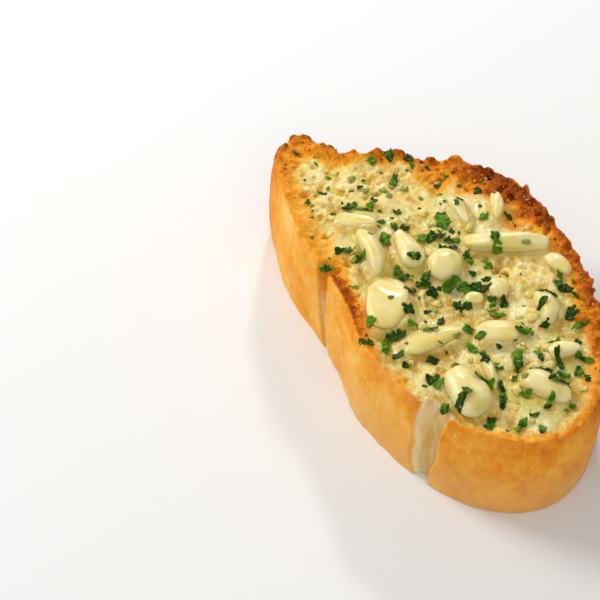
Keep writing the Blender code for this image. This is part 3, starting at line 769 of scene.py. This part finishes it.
def restHeights():
    # the height in mm of what lies uppermost, bread or garlic, over the grid
    verts, faces = [], []
    for piece in [breadPiece, *garlicPieces]:
        start = len(verts)
        verts += meshPoints(piece.data).tolist()
        faces += [[start + i for i in face.vertices] for face in piece.data.polygons]
    solids = BVHTree.FromPolygons(verts, faces)
    down, field = Vector((0, 0, -1)), np.zeros(plane)
    for i, x in enumerate(axes[0]):
        for j, y in enumerate(axes[1]):
            place = solids.ray_cast(Vector((x, y, 60)), down)[0]
            field[i, j] = place.z if place else slab["thickness"] - 4
    return field


rest = restHeights()
drape = np.maximum(np.maximum(blurred(rest, 0.7), blurred(rest, 0.35)), slab["thickness"] - 1)
print("resting heights ready")


def placingTree():
    # puts one of the shapes on every point, as the points' own attributes say
    tree = bpy.data.node_groups.new("placeShapes", "GeometryNodeTree")
    for label in ("Geometry", "Collection", "Material"):
        tree.interface.new_socket(label, in_out="INPUT", socket_type="NodeSocket" + label)
    tree.interface.new_socket("Geometry", in_out="OUTPUT", socket_type="NodeSocketGeometry")
    start = tree.nodes.new("NodeGroupInput").outputs

    def named(name, kind):
        made = addNode(tree, "GeometryNodeInputNamedAttribute", {"data_type": kind}, {"Name": name})
        return made.outputs[0]

    shapes = addNode(tree, "GeometryNodeCollectionInfo", {}, {
        "Collection": start["Collection"], "Separate Children": True, "Reset Children": True,
    })
    put = addNode(tree, "GeometryNodeInstanceOnPoints", {}, {
        "Points": start["Geometry"], "Instance": shapes.outputs[0], "Pick Instance": True,
        "Instance Index": named("kind", "INT"), "Rotation": named("turn", "FLOAT_VECTOR"),
        "Scale": named("size", "FLOAT_VECTOR"),
    })
    real = addNode(tree, "GeometryNodeRealizeInstances", {}, {"Geometry": put.outputs[0]})
    done = addNode(tree, "GeometryNodeSetMaterial", {}, {
        "Geometry": real.outputs[0], "Material": start["Material"],
    })
    addNode(tree, "NodeGroupOutput", {}, {0: done.outputs[0]})
    return tree


placing = placingTree()


def pointMesh(name, spots):
    # spots: place in mm, turn, size in mm, which shape, tint
    places, turns, sizes, kinds, tints = zip(*spots)
    mesh = bpy.data.meshes.new(name)
    mesh.from_pydata(places, [], [])
    placePoints(mesh, np.array(places))
    giveAttributes(mesh, turn=turns, size=np.array(sizes) * mm, kind=kinds, tint=tints)
    return mesh


def placeShapes(name, spots, shapes, material):
    # evaluates the tree on the spots and returns the result as a plain mesh
    collection = bpy.data.collections.new(name)
    for i, mesh in enumerate(shapes):
        collection.objects.link(bpy.data.objects.new(f"{name}{i:02d}", mesh))
    host = linked(name, pointMesh(name, spots))
    modifier = host.modifiers.new("placed", "NODES")
    modifier.node_group = placing
    values = {"Collection": collection, "Material": material}
    for socket in placing.interface.items_tree:
        if socket.in_out == "INPUT" and socket.name in values:
            modifier[socket.identifier] = values[socket.name]
    return evaluatedMesh(host)


parsley = {
    "thickness": 0.18, "shapes": 16, "spokes": 21, "rings": 3, "fleckShapes": 6, "fleckSpokes": 7,
    "leaves": (  # x, y, across the view and along it, in mm
        (-11, -16.5, 3.6, 3.4), (-14.9, -17.9, 4.6, 2), (-12.5, -24, 3.6, 3), (-13.4, -7.8, 3.8, 4.8),
        (-9, 2, 6.4, 6.2), (-5.5, 6, 3.4, 2.7), (-3.7, 3.8, 4.7, 1.6), (-12.9, 7.6, 4.2, 5.8),
        (1.5, 13.6, 3.6, 5), (1.6, 6.1, 1.8, 4), (-2.7, -6.1, 3.5, 2), (-3.1, -10.2, 2.1, 3),
        (-0.3, -9.9, 2.8, 2), (4.1, -7.4, 3.6, 2.6), (6.7, -6.7, 2.8, 2.8), (4.2, -11.1, 2.8, 2),
        (9.8, 0.7, 9.2, 3.6), (9.3, 6.3, 2.3, 1.6), (2.6, -6.2, 2.8, 2.6), (13.5, -3.8, 2.1, 3.2),
        (14.8, -2.2, 2.1, 2), (17.1, 3.1, 3.4, 4), (20.2, 2.8, 3.2, 2), (10.2, -14.9, 2.7, 2.8),
        (14.2, -16.1, 2.5, 2.2), (16, -9.8, 2, 2.2), (18, -13.9, 3.4, 1.2), (21.7, -6.1, 2.7, 2.5),
        (25.1, -5, 2.9, 2.1), (26.6, -8, 2, 3), (31, -7.6, 2.2, 4.8), (15, -21, 4.1, 2.8),
        (16.7, -24.8, 2.7, 3.7), (13.3, -27.8, 3.6, 1.5), (20.2, -23.5, 2.7, 1.5), (24.8, -17.3, 3.1, 1.8),
        (29.3, -13.6, 2, 2.1), (30.5, -20.5, 3.1, 2.9), (32.6, -20.4, 2.2, 2.6), (38.7, -22, 2.2, 2.9),
        (43.5, -10.4, 2.2, 3.5), (34.4, -0.8, 3.1, 5.1), (8.9, -24.1, 2.3, 2.5), (-28, -9.4, 3.9, 2.1),
        (-24.9, -6.9, 3.9, 2.1), (-26.8, -4.5, 1.9, 1.8), (-20.8, -0.4, 2.2, 2.1), (-31.1, 4.7, 1.9, 4.4),
        (-39.2, 7.8, 2.6, 4.5), (-35.8, 11.4, 2.5, 2.6), (-39.5, 2.9, 3, 2.6), (-24.6, 13.1, 1.5, 2.2),
        (-17.5, 20.5, 1.9, 2.5), (-8.8, 16.9, 2.2, 2.1), (-16.4, -3.4, 3.4, 3.5), (-15.4, -1.5, 2.4, 2.4),
        (-35.9, -13.1, 2.5, 1.4), (-14.8, 12.9, 1.2, 2.8), (5.9, 9, 2.3, 1.7), (18, 6, 1.8, 2.9),
    ),
    "viewTurn": 65.0, "turnSpread": 18,  # degrees, the first from +X to the picture's right
    "growth": 1.06, "spacing": 0.42, "sparedGarlic": 0.8,
    "parted": 3.3,  # a scrap longer than this is three that cling together
    "hiddenLeaves": 30, "hiddenSide": (0.86, 0.5, 25),  # where 0.86 x + 0.5 y is over 25
    "flecks": 80, "fleckLimit": 1.9,
    "leafSizes": (2.2, 5.4, 1), "fleckSizes": (0.9, 2.4, 1.4),  # from, to and the power of the share
    "green": (0.026, 0.09, 0.002, 1), "bright": (0.1, 0.25, 0.005, 1), "dark": (0.014, 0.05, 0.001, 1),
    "yellowGreen": (0.32, 0.34, 0.02, 1),
}


def leafShape(seed, spokes, rings):
    # a torn scrap of curly leaf, one unit long and wide, folded at its vein and ruffled at its edge
    draw = random.Random(seed)
    lobes, ruffles = draw.choice((2, 3, 3, 4)), draw.choice((3, 4, 5))
    phase, wave = draw.uniform(0, 6.3), draw.uniform(0, 6.3)
    fold, curl, ruffle = draw.uniform(0.0, 0.7), draw.uniform(-0.5, 0.4), draw.uniform(0.12, 0.3)
    shift = Vector((draw.uniform(0, 50), draw.uniform(0, 50), 0))
    verts = [(0, 0, 0)]
    for ring in range(1, rings + 1):
        for i in range(spokes):
            angle = 2 * math.pi * (i + 0.5 * (ring % 2) * (rings > 1)) / spokes
            uneven = noise.noise(Vector((i * 0.9, seed, 0)))
            reach = 1 + 0.22 * math.cos(lobes * angle + phase) + 0.22 * uneven
            reach *= ring / rings * (1.08 if i % 3 == 0 and ring == rings else 1)
            x, y = reach * math.cos(angle), reach * math.sin(angle)
            z = fold * abs(y) + curl * x * x + ruffle * reach * reach * math.cos(ruffles * angle + wave)
            z += 0.35 * noise.noise(Vector((x * 1.5, y * 1.5, 0)) + shift)
            verts.append((x, y, z))
    faces = [(0, 1 + i, 1 + (i + 1) % spokes) for i in range(spokes)]
    for ring in range(rings - 1):
        inner, outer = 1 + ring * spokes, 1 + (ring + 1) * spokes
        for i in range(spokes):
            after = (i + 1) % spokes
            faces.append((inner + i, outer + i, outer + after, inner + after))
    verts = np.array(verts)
    verts[:, :2] = (verts[:, :2] - verts[:, :2].min(0)) / np.ptp(verts[:, :2], axis=0) - 0.5
    verts[:, 2] = (verts[:, 2] - verts[:, 2].min()) / 2
    mesh = bpy.data.meshes.new("leafScrap")
    mesh.from_pydata(verts.tolist(), [], faces)
    mesh.shade_smooth()
    return mesh


def leafSpots():
    # every scrap: x, y, length, width, turn in degrees and how far it is raised
    draw, spots = random.Random(81), []
    growth, spread = parsley["growth"], parsley["turnSpread"]
    for x, y, across, deep in parsley["leaves"]:
        turn = parsley["viewTurn"] + (0 if across > deep else 90) + draw.uniform(-spread, spread)
        spots.append((x, y, growth * max(across, deep), growth * min(across, deep), turn, 0.0))
    large, (slopeX, slopeY, edge) = len(spots) + parsley["hiddenLeaves"], parsley["hiddenSide"]
    while len(spots) < large + parsley["flecks"]:
        hidden = len(spots) < large
        x, y = anyPlace(draw)
        low, high, power = parsley["leafSizes" if hidden else "fleckSizes"]
        length = low + (high - low) * draw.random() ** power
        cell = cellOf(x, y)
        if rimDistance[cell] < 2.2 + length / 2 or (hidden and slopeX * x + slopeY * y <= edge):
            continue
        if clearance[cell] < 0 and draw.random() < parsley["sparedGarlic"]:
            continue
        if all(math.hypot(x - o[0], y - o[1]) > parsley["spacing"] * (length + o[2]) for o in spots):
            spots.append((x, y, length, length * draw.uniform(0.25, 0.8), draw.uniform(0, 360), 0.0))
    parted = [spot for spot in spots if spot[2] <= parsley["parted"]]
    for x, y, length, width, turn, _ in [spot for spot in spots if spot[2] > parsley["parted"]]:
        way = math.radians(turn)
        for along in (-0.27, 0, 0.27):
            off, size = along * length, draw.uniform(0.42, 0.58) * length
            parted.append((
                x + off * math.cos(way), y + off * math.sin(way), size, min(0.95 * width, size),
                turn + draw.uniform(-50, 50), draw.uniform(0, 0.35),
            ))
    return parted


def parsleyMaterial():
    paint = Paint("choppedParsley")
    tint, patches = paint.attribute("tint"), paint.noise(1.3, 3)
    light = tint + 1.3 * (patches - 0.5)
    colour = paint.mix(light.step(0.3, 0.85), parsley["green"], parsley["bright"])
    colour = paint.mix((0.55 - light).step(0.05, 0.45), colour, parsley["dark"])
    colour = paint.mix((tint + 0.3 * (patches - 0.5)).step(0.93, 1.0) * 0.8, colour, parsley["yellowGreen"])
    bump = paint.bump(paint.noise(0.35, 3), 0.1, 0.8)
    return paint.finish(paint.shader({
        "Base Color": colour, "Roughness": 0.32, "Normal": bump, **lightInside(0.1, (0.3, 1.0, 0.1), 0.5),
        "Specular IOR Level": 0.15, "Specular Tint": (0.9, 1.0, 0.4, 1),
        "Coat Weight": 0.12, "Coat Roughness": 0.04, "Coat IOR": 1.4,
    }))


def anyLean(draw):
    # a slight lean about x and y, in radians
    return draw.uniform(-0.3, 0.3), draw.uniform(-0.3, 0.3)


def makeParsley():
    draw = random.Random(82)
    shapes = [leafShape(91 + i, parsley["spokes"], parsley["rings"]) for i in range(parsley["shapes"])]
    shapes += [leafShape(191 + i, parsley["fleckSpokes"], 1) for i in range(parsley["fleckShapes"])]
    spots = []
    for x, y, length, width, turn, raised in leafSpots():
        turns = (*anyLean(draw), math.radians(turn))
        size = (length, width, 0.5 * (length + width) * draw.uniform(0.45, 0.85))
        kind, fleck = draw.randrange(parsley["shapes"]), length < parsley["fleckLimit"]
        if fleck:
            kind = parsley["shapes"] + draw.randrange(parsley["fleckShapes"])
        spots.append(((x, y, raised), turns, size, kind, draw.random() * (1 if fleck else 0.8)))
    material = parsleyMaterial()
    mesh = placeShapes("parsley", spots, shapes, material)
    points = meshPoints(mesh)
    points[:, 2] = np.maximum(points[:, 2], 0.02) + readGrid(drape, points)
    placePoints(mesh, points)
    sheet = linked("sheet", mesh)
    wall = sheet.modifiers.new("wall", "SOLIDIFY")
    wall.thickness, wall.offset = parsley["thickness"] * mm, 0
    mesh = evaluatedMesh(sheet)
    print("parsley:", len(spots), "scraps,", triangleCount(mesh), "triangles")
    addPiece("parsley", mesh, material, "bread")


makeParsley()

bits = {  # lumps are the first seed, how many shapes, their detail and unevenness
    "mincedGarlic": {
        "count": 36, "seed": 83, "sizes": (1.5, 3.6), "sink": 0.45, "flat": (0.4, 0.65),
        "lumps": (0, 5, 2, 0.45),
    },
    "toastCrumbs": {
        "count": 260, "seed": 84, "sizes": (0.3, 1.1), "sink": 0.25, "flat": (0.5, 0.9),
        "lumps": (20, 5, 1, 0.4),
        "stops": (
            (0.0, (0.14, 0.025, 0.006)), (0.4, (0.4, 0.1, 0.01)),
            (0.8, (0.68, 0.24, 0.02)), (1.0, (0.84, 0.45, 0.08)),
        ),
    },
    "stemBits": {
        "seed": 85, "size": 1.9, "spans": ((0.8, 1.3), (0.55, 0.9), (0.4, 0.6)), "lumps": (40, 3, 3, 0.25),
        "colour": (0.3, 0.33, 0.05, 1),
        "places": (  # x and y of soft bits of stem, in mm
            (-29.3, -1.7), (-29.3, 0.6), (-26.7, 0.8), (-27.6, 5.8), (-25.4, 13.9), (-36.9, -3.9),
            (-31.4, -3.1), (-12.5, 4.6), (3.6, 9.4), (22.4, -9.4), (12.2, -9.1), (27.6, 5.2), (41.2, -3.4),
            (5.4, 19.8),
        ),
    },
}


def lumpShape(seed, detail, uneven):
    mesh = sphereMesh("lump", detail)
    points = rawPoints(mesh)
    offset = Vector((seed * 3.1, 0, 0))
    swell = np.array([0.5 + uneven * noise.noise(Vector(p) * 1.6 + offset) for p in points])
    points *= swell[:, None]
    mesh.vertices.foreach_set("co", points.astype(np.float32).ravel())
    mesh.shade_smooth()
    return mesh


def addLumps(name, slot, spots, material):
    first, count, detail, uneven = bits[name]["lumps"]
    shapes = [lumpShape(first + i, detail, uneven) for i in range(count)]
    return addPiece(name, placeShapes(name, spots, shapes, material), material, slot).data


def scatterSpots(name, keep):
    # seeded spots where keep allows them: sizes in mm, sink in heights
    own, spots = bits[name], []
    draw, (small, large) = random.Random(own["seed"]), own["sizes"]
    while len(spots) < own["count"]:
        x, y = anyPlace(draw)
        cell = cellOf(x, y)
        if draw.random() > keep[cell]:
            continue
        length = small + (large - small) * draw.random() ** 2
        size = (length, length * draw.uniform(0.55, 0.95), length * draw.uniform(*own["flat"]))
        turn = (*anyLean(draw), draw.uniform(0, 6.3))
        place = (x, y, drape[cell] + (0.5 - own["sink"]) * size[2])
        spots.append((place, turn, size, draw.randrange(own["lumps"][1]), draw.random()))
    return spots


def stemSpots():
    own, spots = bits["stemBits"], []
    draw = random.Random(own["seed"])
    for x, y in own["places"]:
        size = [own["size"] * draw.uniform(*span) for span in own["spans"]]
        turn = (*anyLean(draw), draw.uniform(0, 6.3))
        place = (x, y, drape[cellOf(x, y)] + 0.15 * size[2])
        spots.append((place, turn, size, draw.randrange(own["lumps"][1]), 0.5))
    return spots


def stemMaterial():
    paint = Paint("parsleyStems")
    look = {"Base Color": bits["stemBits"]["colour"], "Roughness": 0.35}
    return paint.finish(paint.shader({**look, **lightInside(0.4, (0.8, 1.0, 0.3), 1.0)}))


def crumbMaterial():
    paint = Paint("toastedCrumbs")
    colour = paint.ramp(bits["toastCrumbs"]["stops"], paint.attribute("tint"))
    return paint.finish(paint.shader({"Base Color": colour, "Roughness": 0.6}))


def makeBits():
    inner = smooth(2, 5, rimDistance)
    keep = inner * (0.15 + 0.85 * wet) * (clearance > 0.4) * (1 - toast)
    mesh = addLumps("mincedGarlic", "garlic", scatterSpots("mincedGarlic", keep), garlicPaint)
    low = np.full(len(mesh.vertices), 0.8)
    giveAttributes(mesh, base=low, flat=0 * low)
    addLumps("stemBits", "bread", stemSpots(), stemMaterial())
    keep = smooth(0.35, 0.7, toast) * (rimDistance > 0.9) * (rest > slab["thickness"] - 2)
    addLumps("toastCrumbs", "bread", scatterSpots("toastCrumbs", keep), crumbMaterial())
    print("bits:", bits["mincedGarlic"]["count"], "of garlic,", bits["toastCrumbs"]["count"], "of crust")


makeBits()

camera = {
    "place": (255.7, -158.85, 324.1), "look": (-0.6275, 0.2979, -0.7193),  # mm and direction, in the drawing
    "roll": -3.0, "lens": 108, "sensor": 36,
}
stage = {
    "floorSize": 3.0, "floor": (0.85, 0.875, 0.93, 1), "world": (1.0, 0.965, 0.88, 1), "worldStrength": 0.4,
    "lampColour": (1.0, 0.965, 0.9),
}
lamps = {  # direction from the slice, distance, size and power
    "key": ((-0.8, -0.45, 0.75), 0.9, 0.36, 4.4),
    "back": ((-0.8, 0.55, 0.62), 0.9, 0.1, 2.6),
    "fill": ((0.9, -0.35, 0.9), 1.0, 0.8, 2.2),
    "front": ((0.1, -1, 0.6), 1.0, 0.8, 0.5),
}


def makeCamera():
    data = bpy.data.cameras.new("camera")
    data.sensor_width, data.lens = camera["sensor"], camera["lens"]
    data.clip_start, data.clip_end = 0.01, 10
    item = linked("camera", data)
    look = Vector(camera["look"]).normalized()
    roll = Matrix.Rotation(math.radians(-camera["roll"]), 3, look)
    right = roll @ look.cross(Vector((0, 0, 1))).normalized()
    matrix = Matrix((right, right.cross(look), -look)).transposed().to_4x4()
    matrix.translation = (Vector(camera["place"]) + Vector(drawingShift)) * mm
    item.matrix_world = matrix
    bpy.context.scene.camera = item


def makeStage():
    mesh = bpy.data.meshes.new("floor")
    half = stage["floorSize"] / 2
    corners = [(x * half, y * half, 0) for x, y in ((-1, -1), (1, -1), (1, 1), (-1, 1))]
    mesh.from_pydata(corners, [], [(0, 1, 2, 3)])
    floor = linked("floor", mesh)
    paint = Paint("paleFloor")
    mesh.materials.append(paint.finish(paint.shader({"Base Color": stage["floor"], "Roughness": 0.9})))
    world = bpy.data.worlds.new("studio")
    world.use_nodes = True
    inputs = world.node_tree.nodes["Background"].inputs
    inputs["Color"].default_value, inputs["Strength"].default_value = stage["world"], stage["worldStrength"]
    bpy.context.scene.world = world
    for name, (way, distance, size, power) in lamps.items():
        data = bpy.data.lights.new(name, "AREA")
        data.shape, data.size, data.energy, data.color = "DISK", size, power, stage["lampColour"]
        lamp = linked(name, data)
        lamp.location = Vector(way).normalized() * distance
        lamp.rotation_mode = "QUATERNION"
        lamp.rotation_quaternion = Vector(way).to_track_quat("Z", "Y")
    bpy.context.scene.view_settings.view_transform = "Standard"


makeCamera()
makeStage()
print("stage ready")
